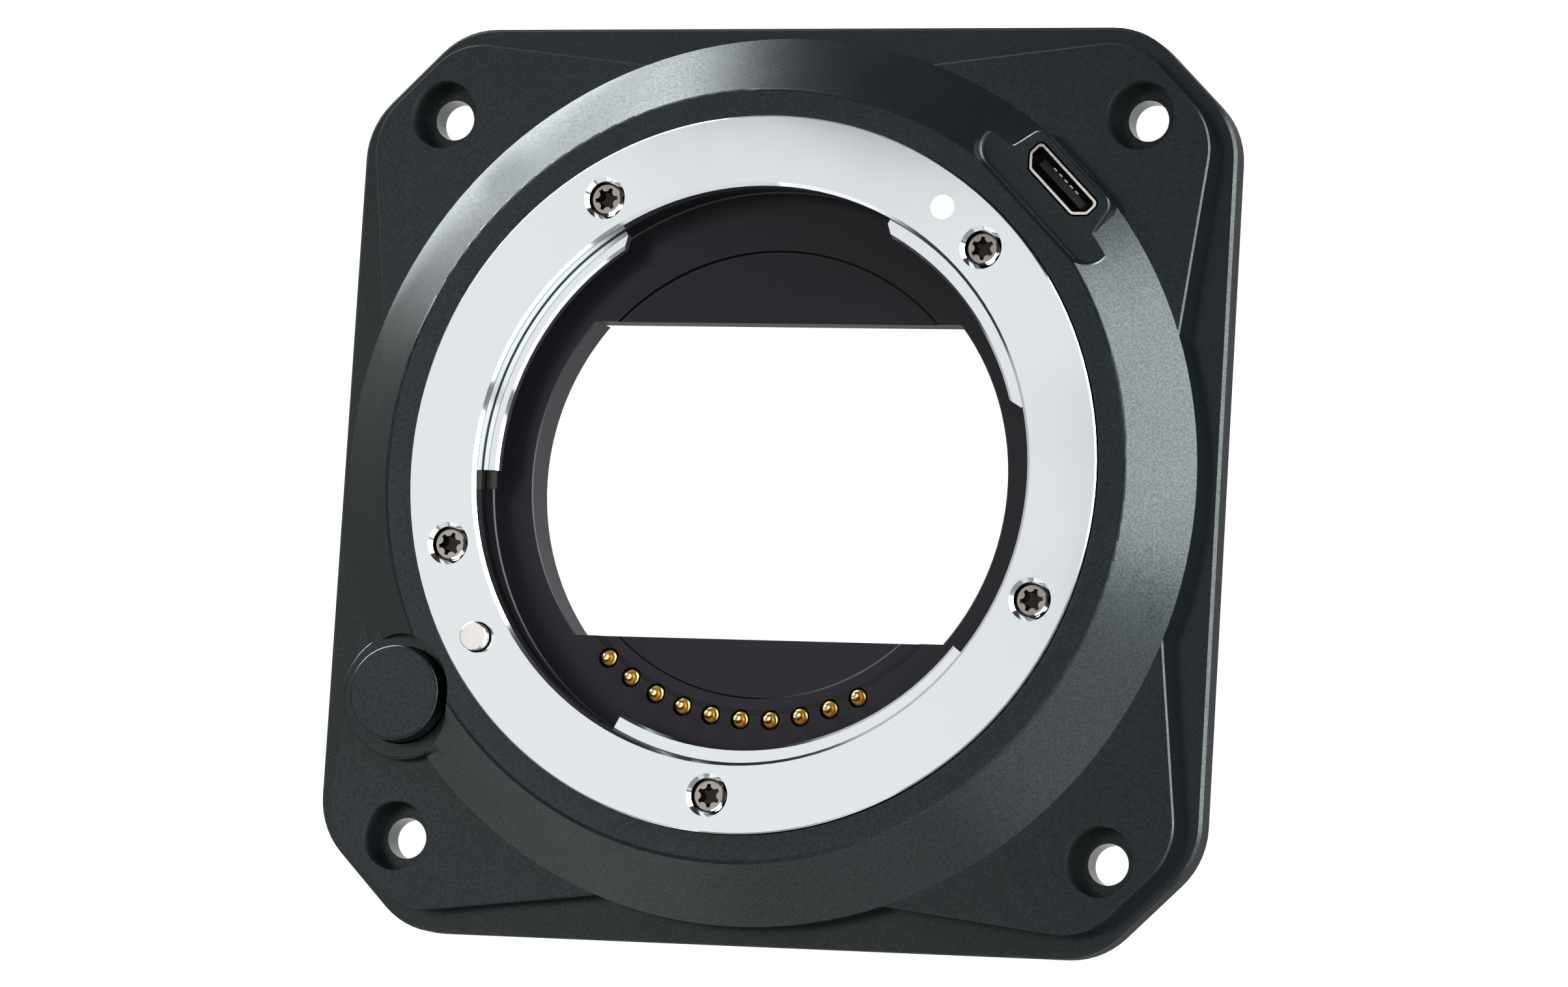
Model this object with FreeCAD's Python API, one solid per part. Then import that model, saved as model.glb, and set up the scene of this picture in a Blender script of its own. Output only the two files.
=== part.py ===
import FreeCAD, Part
import math
import os
from FreeCAD import Vector

# Lens mount adapter: a square plate that carries a bayonet ring, spring contacts, a lock pin with its
# release button and a micro USB socket. Millimetres. The origin is on the optical axis at the plate's back
# face, +Z points out of the ring towards the lens, and +Y is the edge that stands up in use. The throat
# radius sets the plan: ring, cone, plate, baffle and boards follow it by widths and insets.

# Bayonet ring
throat_radius = 23.05
ring_width = 5.65
ring_thick = 2.5
throat_break = 0.26
ring_edge_break = 0.1
tab_reach = 1.3
tab_drop = 1.6
tab_edge_break = 0.22
tab_corner_cut = 0.83
tab_spans = ((14.7, 63.8), (121.7, 180.0), (243.0, 322.8))
tab_cut_ends = ((True, True), (True, False), (False, False))
ring_seat_gap = 0.05

# Screws of the bayonet ring
ring_screw_inset = 2.7
ring_screw_angles = (-166.1, -93.8, -21.8, 44.8, 121.6)
ring_screw_turns = (11.0, 31.0, 7.0, 29.0, 7.0)
ring_screw_head_dia = 2.68
ring_screw_head_height = 0.95
ring_screw_head_drop = 0.46
ring_screw_sink_dia = 2.84
ring_screw_sink_break = 0.3
ring_screw_dia = 1.6
ring_screw_length = 3.6
star_radius = 0.93
star_depth = 0.75

# Index dot
dot_inset = 3.0
dot_angle = 55.05
dot_dia = 1.95
dot_depth = 0.3

# Cone
face_height = 8.9
band_width = 2.2
band_drop = 0.49
cone_run = 4.8
cone_top_round = 0.5

# Plate and corner pads
plate_margin = 1.3
plate_corner_cut = 8.05
plate_corner_round = 6.5
plate_thick = 2.7
plate_edge_break = 0.25
back_edge_break = 0.45
pad_edge_inset = 1.4
pad_corner_cut = 7.0
pad_corner_round = 5.5
pad_step = 2.03
pad_taper_deg = 6.8
pad_edge_break = 0.14

# Mounting holes in the corners
mount_inset = 7.5
mount_hole_dia = 3.3
mount_sink_dia = 5.6
mount_seat_height = 2.15

# Leaf springs behind the tabs
leaf_thick = 0.25
leaf_width = 0.8
leaf_bow = 0.45
leaf_length = 15.0
leaf_foot_angle = 9.0
leaf_foot_reach = 2.4
leaf_end_angles = (58.0, 183.6, 315.0)
leaf_side_gap = 0.1

# Light baffle, its collar and its window
baffle_thick = 1.2
baffle_rim = 1.15
baffle_radial_gap = 0.1
collar_inset = 0.35
collar_wall = 0.5
collar_foot_bevel = 0.12
window_inset = 3.05
window_contact_gap = 1.784
window_wall = 1.0
window_wall_end = 0.5
window_edge_break = 0.1
flap_inset = 1.6
flap_recess = 0.28
flap_slope_width = 0.3
flap_lip_depth = 2.0
post_dia = 2.0
post_inset = 0.45
post_angles = (28.0, 152.0, 208.0, 332.0)

# Spring contacts
contact_count = 10
contact_inset = 3.85
contact_middle_angle = -97.005
contact_pitch = 2.515
contact_hole_dia = 1.64
barrel_collar_dia = 1.26
barrel_collar_height = 0.55
barrel_collar_edge = 0.1
barrel_drop = 0.05
barrel_dia = 1.06
barrel_bore_dia = 0.86
barrel_floor_thick = 0.2
tip_dia = 0.72
tip_stand_out = 1.0
contact_stroke = 0.6
contact_gap = 0.03
contact_lip = 0.3
contact_lip_mouth = 0.2
contact_spring_packed = 0.7
block_thick = 1.0
block_margin = 1.7
block_spare_angle = 6.0
contact_board_margin = 2.7
contact_board_thick = 0.6
flex_thick = 0.1
flex_width = 8.0
flex_reach = 2.4
contact_wire_dia = 0.12
contact_coil_turns = 3
coil_steps = 10
wire_sides = 4

# Lock pin and release button
lock_angle = -148.05
button_inset = 1.24
button_dia = 7.74
button_drop = 1.0
button_edge_round = 0.24
button_gap = 0.1
boss_radius = 5.23
boss_drop = 3.0
boss_blend = 1.3
boss_edge_round = 0.2
button_relief_radius = 4.86
pin_inset = 2.82
pin_dia = 2.26
pin_stand_out = 1.0
pin_edge_break = 0.08
pin_gap = 0.06
pin_hole_in_ring_dia = 2.5
pin_collar_dia = 3.5
pin_collar_height = 0.6
pin_tail_dia = 1.5
pin_floor_gap = 0.25
lock_stroke = 1.05
lifter_thick = 0.7
lifter_button_radius = 4.35
lifter_pin_radius = 1.8
lifter_gap = 0.1
lifter_side_gap = 0.15
lifter_baffle_gap = 0.3
lock_pocket_roof = 4.4
lifter_screw_head_dia = 2.4
lifter_screw_head_height = 0.7
lifter_screw_dia = 1.4
lifter_screw_length = 2.6
button_spring_radius = 3.3
button_wire_dia = 0.35
pin_wire_dia = 0.25
lock_coil_turns = 3

# Micro USB socket and its pad
usb_angle = 45.0
usb_inset = 0.98
usb_width = 7.0
usb_depth = 2.17
usb_corner_cut = 0.93
usb_corner_round = 0.42
usb_wall = 0.2
usb_gap = 0.16
usb_rim_drop = 0.03
usb_base_thick = 0.7
tongue_width = 5.0
tongue_thick = 0.6
tongue_offset = 0.62
tongue_drop = 0.85
tongue_root = 0.1
usb_contact_count = 5
usb_contact_pitch = 0.65
usb_contact_width = 0.36
usb_contact_thick = 0.12
usb_contact_drop = 0.95
usb_pad_drop = 2.2
usb_pad_border = 0.93
usb_pad_half_width = 4.4
usb_pad_lean = 0.65
usb_pad_round = 1.15
usb_pad_flare = 1.3
usb_pad_bury = 0.1
usb_pad_root = 0.9
usb_pad_edge_round = 0.3
usb_recess_half_width = 7.3
usb_recess_inset = 0.7
usb_recess_round = 1.9
usb_recess_foot_round = 0.45

# Boards and rear cover
cover_thick = 0.8
cover_board_gap = 0.2
cover_gap = 0.08
cover_inset = 1.2
cover_button_radius = 5.3
cover_usb_margin = 1.68
cover_usb_half_width = 6.2
cover_window_gap = 0.15
cover_screw_inset = 2.0
cover_screw_angles = (20.0, 110.0, 200.0, 290.0)
cover_screw_head_dia = 2.8
cover_screw_cone = 0.6
cover_screw_dia = 1.6
cover_screw_length = 3.4
board_pocket_width = 6.2
board_pocket_roof = 3.4
board_thick = 0.8
board_gap = 0.3
board_inner_gap = 0.4
board_usb_half_width = 5.0
board_notch_angles = (187.0, 237.0)
board_screw_inset = 3.2
board_screw_angles = (-46.0, 14.0, 148.0)
board_screw_dia = 1.2
board_screw_head_dia = 2.0
board_screw_head_height = 0.5
board_screw_length = 1.5
board_boss_dia = 3.0
chip_side = 4.0
chip_thick = 0.8
chip_inset = 3.2
chip_angle = 82.0
pad_slot_angles = (-84.0, -56.0)
pad_slot_inset = 2.0
pad_slot_width = 2.4

# Allowances used in many places: how far a cutter runs past a face, how far a hole runs past its screw,
# how far two joined forms overlap, and the cross-shaped recess of the small screws
cut_spare = 1.0
drill_spare = 0.1
overlap = 0.2
cross_width = 0.35
cross_depth = 0.35

# Radii that follow the throat
ring_outer_radius = throat_radius + ring_width
tab_radius = throat_radius - tab_reach
ring_screw_place_radius = throat_radius + ring_screw_inset
dot_place_radius = throat_radius + dot_inset
pin_place_radius = throat_radius + pin_inset
cone_top_radius = ring_outer_radius + band_width
cone_foot_radius = cone_top_radius + cone_run
plate_side = 2 * (cone_foot_radius + plate_margin)
mount_pitch = plate_side - 2 * mount_inset
button_place_radius = cone_foot_radius - button_inset
usb_outer_side = cone_foot_radius - usb_inset
usb_recess_inner = cone_top_radius - usb_recess_inset
baffle_radius = throat_radius + baffle_rim
collar_inner_radius = throat_radius + collar_inset
collar_outer_radius = collar_inner_radius + collar_wall
window_radius = throat_radius - window_inset
flap_radius = window_radius - flap_inset
post_place_radius = throat_radius - post_inset
contact_place_radius = throat_radius - contact_inset
board_pocket_radius = baffle_radius + board_pocket_width
board_screw_place_radius = baffle_radius + board_screw_inset
chip_place_radius = baffle_radius + chip_inset
pad_slot_inner = baffle_radius + pad_slot_inset
cover_radius = cone_foot_radius - cover_inset
cover_screw_place_radius = cover_radius - cover_screw_inset
cover_usb_reach = usb_outer_side + cover_usb_margin

# The contacts stand on an arc at an even pitch, and the window ends above the first of them
contact_step_deg = 2 * math.degrees(math.asin(contact_pitch / 2 / contact_place_radius))
contact_first_angle = contact_middle_angle - contact_step_deg * (contact_count - 1) / 2
window_half_height = -contact_place_radius * math.sin(math.radians(contact_first_angle)) - window_contact_gap

# Heights: contact board, block and baffle stand on one another from the rear cover up
pad_top = plate_thick + pad_step
band_height = face_height - band_drop
ring_back = face_height - ring_thick
tab_top = face_height - tab_drop
contact_board_back = cover_thick + cover_board_gap
contact_board_front = contact_board_back + contact_board_thick
block_back = contact_board_front
baffle_back = block_back + block_thick
baffle_front = baffle_back + baffle_thick
board_back_height = contact_board_front + flex_thick
collar_end = ring_back - leaf_thick - ring_seat_gap
flap_front = baffle_front - flap_recess
boss_top = face_height - boss_drop
button_top = face_height - button_drop
usb_pad_top = face_height - usb_pad_drop
board_front = board_back_height + board_thick
screw_head_top = face_height - ring_screw_head_drop
screw_seat = screw_head_top - ring_screw_head_height
cone_slope = (cone_foot_radius - cone_top_radius) / (band_height - pad_top)
lifter_top = lock_pocket_roof - lifter_gap
lifter_bottom = lifter_top - lifter_thick
pin_collar_bottom = lifter_bottom - pin_collar_height
pin_tail_end = cover_thick + pin_floor_gap + lock_stroke
barrel_top = baffle_front - barrel_drop
barrel_floor = contact_board_back + barrel_floor_thick
shoulder_top = barrel_top - contact_lip - contact_gap
shoulder_bottom = barrel_floor + contact_spring_packed + contact_stroke


# Shape helpers

def polar(radius, degrees, height=0.0):
    turn = math.radians(degrees)
    return Vector(radius * math.cos(turn), radius * math.sin(turn), height)


def disc(radius, low, high, centre=Vector(0, 0, 0)):
    return Part.makeCylinder(radius, high - low, Vector(centre.x, centre.y, low))


def tube(outer, inner, low, high):
    return disc(outer, low, high).cut(disc(inner, low, high))


def slab(x_low, x_high, y_low, y_high, low, high):
    return Part.makeBox(x_high - x_low, y_high - y_low, high - low, Vector(x_low, y_low, low))


def turned(profile):
    """solid of revolution about Z from (radius, height) corners"""
    corners = [Vector(radius, 0, height) for radius, height in profile]
    wire = Part.makePolygon(corners + corners[:1])
    return Part.Face(wire).revolve(Vector(0, 0, 0), Vector(0, 0, 1), 360)


def sector(outer, inner, start, end, low, high):
    """part of a tube between two angles in degrees"""
    piece = Part.makeCylinder(outer, high - low, Vector(0, 0, low), Vector(0, 0, 1), end - start)
    piece.rotate(Vector(0, 0, 0), Vector(0, 0, 1), start)
    if inner > 0:
        piece = piece.cut(disc(inner, low, high))
    return piece


def turn(shape, degrees):
    result = shape.copy()
    result.rotate(Vector(0, 0, 0), Vector(0, 0, 1), degrees)
    return result


def rounded_outline(corners):
    """closed wire through (x, y, corner radius), convex or concave corners alike"""
    edges = []
    starts = []
    ends = []
    count = len(corners)
    for index, (x, y, radius) in enumerate(corners):
        here = Vector(x, y, 0)
        before = Vector(corners[index - 1][0], corners[index - 1][1], 0) - here
        after = Vector(corners[(index + 1) % count][0], corners[(index + 1) % count][1], 0) - here
        before.normalize()
        after.normalize()
        half = before.getAngle(after) / 2
        reach = radius / math.tan(half)
        middle = before + after
        middle.normalize()
        centre = here + middle * (radius / math.sin(half))
        starts.append(here + before * reach)
        ends.append(here + after * reach)
        if radius > 0:
            bulge = centre - middle * radius
            edges.append(Part.Arc(starts[-1], bulge, ends[-1]).toShape())
    outline = []
    arcs = iter(edges)
    for index, (x, y, radius) in enumerate(corners):
        if radius > 0:
            outline.append(next(arcs))
        goal = starts[(index + 1) % count]
        if (goal - ends[index]).Length > 1e-6:
            outline.append(Part.makeLine(ends[index], goal))
    return Part.Wire(Part.__sortEdges__(outline))


def prism(wire, low, high):
    face = Part.Face(wire)
    face.translate(Vector(0, 0, low))
    return face.extrude(Vector(0, 0, high - low))


def edges_at(solid, height):
    """every edge that lies flat at one height"""
    return [edge for edge in solid.Edges
            if abs(edge.BoundBox.ZMin - height) < 1e-4 and abs(edge.BoundBox.ZMax - height) < 1e-4]


def break_edges(solid, height, size):
    """chamfer on every edge that lies at one height"""
    return solid.makeChamfer(size, edges_at(solid, height))


def round_edges(solid, height, radius):
    """fillet on every edge that lies at one height"""
    return solid.makeFillet(radius, edges_at(solid, height))


def join(first, *others):
    return first.multiFuse(list(others)).removeSplitter()


def one_solid(shape):
    return shape.Solids[0] if len(shape.Solids) == 1 else shape


def coil(radius, wire_dia, low, high, turns, centre):
    """open coil spring between two heights, its wire run in short straight lengths"""
    rise = (high - low - wire_dia) / (turns * coil_steps)
    path = [polar(radius, 360 * step / coil_steps, step * rise) for step in range(turns * coil_steps + 1)]
    section = Part.Wire([Part.makeCircle(wire_dia / 2, path[0], path[1] - path[0])])
    corners = section.discretize(Number=wire_sides + 1)[:wire_sides]
    ring = Part.makePolygon(corners + corners[:1])
    body = Part.makePolygon(path).makePipeShell([ring], True, False, 1)
    body.translate(Vector(centre.x, centre.y, low + wire_dia / 2))
    return body


# Places that several pieces share

def contact_angle(index):
    return contact_first_angle + index * contact_step_deg


def contact_place(index):
    return polar(contact_place_radius, contact_angle(index))


def button_place():
    return polar(button_place_radius, lock_angle)


def pin_place():
    return polar(pin_place_radius, lock_angle)


def mount_places():
    reach = mount_pitch / 2
    return [Vector(x, y, 0) for x in (-reach, reach) for y in (-reach, reach)]


def window_block(grow, low, high):
    """the baffle's window: a round opening cut off above and below"""
    reach = window_radius + grow
    half = window_half_height + grow
    return disc(reach, low, high).common(slab(-reach, reach, -half, half, low, high))


def usb_outline(grow):
    """socket outline in its own frame: x outward from the axis, y along the wide side"""
    outer = usb_outer_side + grow
    inner = usb_outer_side - usb_depth - grow
    half = usb_width / 2 + grow
    cut = usb_corner_cut + grow * (2 - math.sqrt(2))
    rounding = usb_corner_round + max(grow, -0.1)
    return rounded_outline([
        (outer, half, rounding), (inner + cut, half, rounding), (inner, half - cut, rounding),
        (inner, cut - half, rounding), (inner + cut, -half, rounding), (outer, -half, rounding)])


def usb_prism(grow, low, high):
    return turn(prism(usb_outline(grow), low, high), usb_angle)


# Housing

def plate():
    half = plate_side / 2
    near = half - plate_corner_cut
    corner = plate_corner_round
    outline = rounded_outline([
        (half, near, corner), (near, half, corner), (-near, half, corner), (-half, near, corner),
        (-half, -near, corner), (-near, -half, corner), (near, -half, corner), (half, -near, corner)])
    body = prism(outline, 0, plate_thick)
    body = break_edges(body, plate_thick, plate_edge_break)
    return break_edges(body, 0, back_edge_break)


def corner_pads():
    """the upper step, whose sides lean inward from the corners to the middle of each side"""
    far = plate_side / 2 - pad_edge_inset
    near = far - pad_corner_cut
    waist = far - near * math.tan(math.radians(pad_taper_deg))
    corners = []
    for quarter in range(4):
        for x, y, radius in ((waist, 0, 0), (far, near, pad_corner_round), (near, far, pad_corner_round)):
            spot = turn(Part.Vertex(x, y, 0), 90 * quarter).Point
            corners.append((spot.x, spot.y, radius))
    body = prism(rounded_outline(corners), plate_thick, pad_top)
    return break_edges(body, pad_top, pad_edge_break)


def cone():
    """raised round form with a flat band on top, softly rounded where the slope begins"""
    lean = math.atan2(cone_foot_radius - cone_top_radius, band_height - pad_top)
    swing = math.pi / 2 - lean
    reach = cone_top_round * math.tan(swing / 2)
    flat_end = Vector(cone_top_radius - reach, 0, band_height)
    centre = Vector(flat_end.x, 0, band_height - cone_top_round)
    bulge = centre + Vector(math.sin(swing / 2), 0, math.cos(swing / 2)) * cone_top_round
    slope_start = centre + Vector(math.sin(swing), 0, math.cos(swing)) * cone_top_round
    foot = Vector(cone_foot_radius, 0, pad_top)
    base = Vector(cone_foot_radius, 0, plate_thick)
    axis_low = Vector(0, 0, plate_thick)
    axis_high = Vector(0, 0, band_height)
    wire = Part.Wire([
        Part.makeLine(axis_low, base), Part.makeLine(base, foot), Part.makeLine(foot, slope_start),
        Part.Arc(slope_start, bulge, flat_end).toShape(), Part.makeLine(flat_end, axis_high),
        Part.makeLine(axis_high, axis_low)])
    return Part.Face(wire).revolve(Vector(0, 0, 0), Vector(0, 0, 1), 360)


def boss_web(side):
    """fills the corner between the button boss and the cone, hollowed to the blend radius"""
    cone_radius = cone_foot_radius - (boss_top - pad_top) * cone_slope
    to_boss = boss_radius + boss_blend
    to_axis = cone_radius + boss_blend
    out = button_place_radius
    turn_in = math.acos((out ** 2 + to_axis ** 2 - to_boss ** 2) / (2 * out * to_axis))
    heading = lock_angle + side * math.degrees(turn_in)
    centre = polar(to_axis, heading)
    inner = polar(cone_radius - boss_blend, heading)
    corners = [button_place(), centre, inner]
    wire = Part.makePolygon(corners + corners[:1])
    return prism(wire, plate_thick, boss_top).cut(disc(boss_blend, plate_thick, boss_top, centre))


def button_boss():
    body = round_edges(disc(boss_radius, plate_thick, boss_top, button_place()), boss_top, boss_edge_round)
    return join(body, boss_web(-1), boss_web(1))


def usb_pad():
    """flat-topped bump that carries the socket, flared where it runs into the cone"""
    outer = usb_outer_side + usb_pad_border
    cone_radius = cone_foot_radius - (usb_pad_top - pad_top) * cone_slope
    foot = usb_pad_half_width + usb_pad_lean
    spread = usb_recess_half_width
    hidden = cone_radius - usb_pad_flare
    shoulder = math.sqrt(cone_radius ** 2 - foot ** 2) - usb_pad_bury
    root = shoulder - usb_pad_root
    inner = hidden - usb_pad_root
    outline = rounded_outline([
        (outer, usb_pad_half_width, usb_pad_round), (shoulder, foot, usb_pad_flare), (root, spread, 0),
        (inner, spread, 0), (inner, -spread, 0), (root, -spread, 0),
        (shoulder, -foot, usb_pad_flare), (outer, -usb_pad_half_width, usb_pad_round)])
    body = round_edges(prism(outline, plate_thick, usb_pad_top), usb_pad_top, usb_pad_edge_round)
    return turn(body, usb_angle)


def usb_recess():
    """levels the cone to the pad's height in front of the socket"""
    outline = rounded_outline([
        (usb_recess_inner, usb_recess_half_width, usb_recess_round),
        (usb_recess_inner, -usb_recess_half_width, usb_recess_round),
        (plate_side, -usb_recess_half_width, 0), (plate_side, usb_recess_half_width, 0)])
    body = prism(outline, usb_pad_top, face_height)
    near = [edge for edge in edges_at(body, usb_pad_top) if edge.BoundBox.XMin < plate_side - drill_spare]
    return turn(body.makeFillet(usb_recess_foot_round, near), usb_angle)


def mount_hole(place):
    high = pad_top + cut_spare
    through = disc(mount_hole_dia / 2, -cut_spare, high, place)
    return join(through, disc(mount_sink_dia / 2, mount_seat_height, high, place))


def lock_pocket(low, high, around):
    """round-ended pocket from the button's place to the pin's place"""
    wide = lifter_button_radius + around
    narrow = lifter_pin_radius + around
    return join(disc(wide, low, high, button_place()), disc(narrow, low, high, pin_place()),
                lock_bar(narrow, low, high))


def lock_bar(half_width, low, high):
    return turn(slab(pin_place_radius, button_place_radius, -half_width, half_width, low, high), lock_angle)


def cover_outline(grow, low, high):
    usb_lobe = slab(usb_lobe_start(), cover_usb_reach + grow, -cover_usb_half_width - grow,
                    cover_usb_half_width + grow, low, high)
    button_lobe = disc(cover_button_radius + grow, low, high, button_place())
    return join(disc(cover_radius + grow, low, high), button_lobe, turn(usb_lobe, usb_angle))


def usb_lobe_start():
    """where the straight-sided lobes round the socket begin, inside the round forms they join"""
    return usb_outer_side - usb_depth - cover_usb_half_width / 2 - board_gap


def board_pocket():
    ring = tube(board_pocket_radius, throat_radius, cover_thick, board_pocket_roof)
    half = board_usb_half_width + board_gap
    reach = usb_outer_side + usb_gap + board_gap
    lobe = turn(slab(usb_lobe_start(), reach, -half, half, cover_thick, board_pocket_roof), usb_angle)
    bosses = [disc(board_boss_dia / 2, board_front, board_pocket_roof, polar(board_screw_place_radius, angle))
              for angle in board_screw_angles]
    return join(ring, lobe).cut(Part.makeCompound(bosses))


def leaf_foot_slot(end):
    start = end - leaf_span()
    return sector(throat_radius + leaf_foot_reach + leaf_side_gap, throat_radius, start - leaf_side_gap,
                  start + leaf_foot_angle + leaf_side_gap, ring_back - leaf_thick, ring_back)


def housing():
    body = join(plate(), corner_pads(), cone(), button_boss(), usb_pad())
    low = -cut_spare
    cuts = [disc(ring_outer_radius + ring_seat_gap, ring_back, face_height + cut_spare),
            disc(collar_outer_radius + ring_seat_gap, low, face_height),
            disc(baffle_radius + baffle_radial_gap, low, baffle_front),
            usb_recess(),
            disc(button_relief_radius, boss_top, face_height, button_place()),
            disc(button_dia / 2 + button_gap, low, boss_top, button_place()),
            disc(pin_dia / 2 + pin_gap, low, face_height, pin_place()),
            lock_pocket(low, lock_pocket_roof, lifter_side_gap),
            cover_outline(cover_gap, low, cover_thick),
            board_pocket(),
            usb_prism(usb_gap, low, face_height)]
    cuts += [mount_hole(place) for place in mount_places()]
    cuts += [leaf_foot_slot(end) for end in leaf_end_angles]
    cuts += [disc(ring_screw_dia / 2, screw_seat - ring_screw_length - drill_spare, ring_back + cut_spare,
                  polar(ring_screw_place_radius, angle)) for angle in ring_screw_angles]
    cuts += [disc(cover_screw_dia / 2, low, cover_screw_length + drill_spare,
                  polar(cover_screw_place_radius, angle)) for angle in cover_screw_angles]
    cuts += [disc(board_screw_dia / 2, board_front - drill_spare, board_back_height + board_screw_length
                  + drill_spare, polar(board_screw_place_radius, angle)) for angle in board_screw_angles]
    return one_solid(body.cut(cuts))


# Bayonet ring, its screws, the dot and the leaf springs

def tab_end_cutter(angle, side):
    """takes the inner corner off a tab's end at 45 degrees, for side -1 at its start or +1 at its end"""
    corners = [Vector(tab_radius + tab_corner_cut, cut_spare * side, 0),
               Vector(tab_radius + tab_corner_cut, 0, 0),
               Vector(tab_radius - overlap, -(tab_corner_cut + overlap) * side, 0),
               Vector(tab_radius - cut_spare, cut_spare * side, 0)]
    wire = Part.makePolygon(corners + corners[:1])
    return turn(prism(wire, ring_back, tab_top), angle)


def tab(span, cut_ends):
    body = sector(throat_radius + overlap, tab_radius, *span, ring_back, tab_top)
    for angle, side, wanted in zip(span, (-1, 1), cut_ends):
        if wanted:
            body = body.cut(tab_end_cutter(angle, side))
    inner = tab_radius - cut_spare
    bevel = turned([(inner, tab_top + cut_spare), (inner, tab_top - cut_spare - tab_edge_break),
                    (tab_radius + cut_spare + tab_edge_break, tab_top + cut_spare)])
    return body.cut(bevel)


def bayonet_ring():
    body = turned([
        (throat_radius, ring_back), (ring_outer_radius, ring_back),
        (ring_outer_radius, face_height - ring_edge_break),
        (ring_outer_radius - ring_edge_break, face_height),
        (throat_radius + throat_break, face_height), (throat_radius, face_height - throat_break)])
    body = join(body, *[tab(span, ends) for span, ends in zip(tab_spans, tab_cut_ends)])
    cuts = [disc(pin_hole_in_ring_dia / 2, ring_back, face_height, pin_place()),
            disc(dot_dia / 2, face_height - dot_depth, face_height, polar(dot_place_radius, dot_angle))]
    for angle in ring_screw_angles:
        place = polar(ring_screw_place_radius, angle)
        sink = ring_screw_sink_dia / 2
        cuts.append(disc(sink, screw_seat, face_height, place))
        cuts.append(Part.makeCone(sink, sink + ring_screw_sink_break, ring_screw_sink_break,
                                  Vector(place.x, place.y, face_height - ring_screw_sink_break)))
        cuts.append(disc(ring_screw_dia / 2 + drill_spare, ring_back, screw_seat, place))
    return one_solid(body.cut(cuts))


def star_socket(low, high, centre, angle):
    """six-lobed drive recess: a disc with six hollows round it"""
    bite = star_radius * 0.36
    body = disc(star_radius, low, high, centre)
    hollows = [disc(bite, low, high, centre + polar(star_radius * 1.05, angle + 60 * index + 30))
               for index in range(6)]
    return body.cut(hollows)


def cross_socket(reach, low, high, centre):
    """plain cross-shaped drive recess"""
    half = cross_width / 2
    bars = join(slab(-reach, reach, -half, half, low, high), slab(-half, half, -reach, reach, low, high))
    bars.translate(Vector(centre.x, centre.y, 0))
    return bars


def pan_screw(place, seat, head_top, head_dia, shank_dia, length, direction=-1):
    """screw whose head stands on a seat, shank below it for -1 or above it for +1"""
    head = disc(head_dia / 2, min(seat, head_top), max(seat, head_top), place)
    head = break_edges(head, head_top, abs(head_top - seat) * 0.2)
    tip = seat + direction * length
    shank = disc(shank_dia / 2, min(seat, tip), max(seat, tip), place)
    return join(head, shank)


def cross_pan_screw(place, seat, head_top, head_dia, shank_dia, length, direction):
    inner = head_top + direction * cross_depth
    drive = cross_socket(head_dia * 0.3, min(inner, head_top), max(inner, head_top), place)
    return one_solid(pan_screw(place, seat, head_top, head_dia, shank_dia, length, direction).cut(drive))


def bayonet_screws():
    pieces = []
    for angle, star_angle in zip(ring_screw_angles, ring_screw_turns):
        place = polar(ring_screw_place_radius, angle)
        body = pan_screw(place, screw_seat, screw_head_top, ring_screw_head_dia, ring_screw_dia,
                         ring_screw_length)
        drive = star_socket(screw_head_top - star_depth, screw_head_top, place, star_angle)
        pieces.append(one_solid(body.cut(drive)))
    return pieces


def index_dot():
    return disc(dot_dia / 2, face_height - dot_depth, face_height, polar(dot_place_radius, dot_angle))


def leaf_span():
    return math.degrees(leaf_length / (throat_radius - leaf_width / 2))


def leaf_spring(end):
    """flat strip bowed away from the tab, with a foot clamped under the ring"""
    half = leaf_length / 2
    far = half + leaf_bow + cut_spare
    flat = half * 0.55
    top = ring_back
    bow = leaf_bow
    side = [(-far, top), (-flat, top), (-flat * 0.35, top - bow), (flat * 0.35, top - bow), (flat, top),
            (far, top)]
    lower = [(place, height - leaf_thick) for place, height in reversed(side)]
    corners = [Vector(0, place, height) for place, height in side + lower]
    face = Part.Face(Part.makePolygon(corners + corners[:1]))
    wave = face.extrude(Vector(ring_outer_radius, 0, 0))
    start = end - leaf_span()
    middle = start + leaf_span() / 2
    outer = throat_radius - leaf_side_gap
    strip = sector(outer, outer - leaf_width, start, start + leaf_span(), baffle_front, ring_back)
    strip = strip.common(turn(wave, middle))
    foot = sector(throat_radius + leaf_foot_reach, outer - leaf_width, start, start + leaf_foot_angle,
                  ring_back - leaf_thick, ring_back)
    return one_solid(join(strip, foot))


# Light baffle and contacts

def baffle_collar():
    """upright wall that lines the bore up to the leaf springs, bevelled at its foot"""
    foot = collar_inner_radius - collar_foot_bevel
    return turned([
        (foot, baffle_front - overlap), (collar_outer_radius, baffle_front - overlap),
        (collar_outer_radius, collar_end), (collar_inner_radius, collar_end),
        (collar_inner_radius, baffle_front + collar_foot_bevel), (foot, baffle_front)])


def bevel_window(body):
    """chamfer on the window's round edges at the baffle's face"""
    round_edges = [edge for edge in edges_at(body, baffle_front)
                   if hasattr(edge.Curve, "Radius") and abs(edge.Curve.Radius - window_radius) < 1e-4]
    return body.makeChamfer(window_edge_break, round_edges)


def flap_cutter():
    """shallow round recess whose wall leans outward"""
    return Part.makeCone(flap_radius, flap_radius + flap_slope_width, flap_recess, Vector(0, 0, flap_front))


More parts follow.
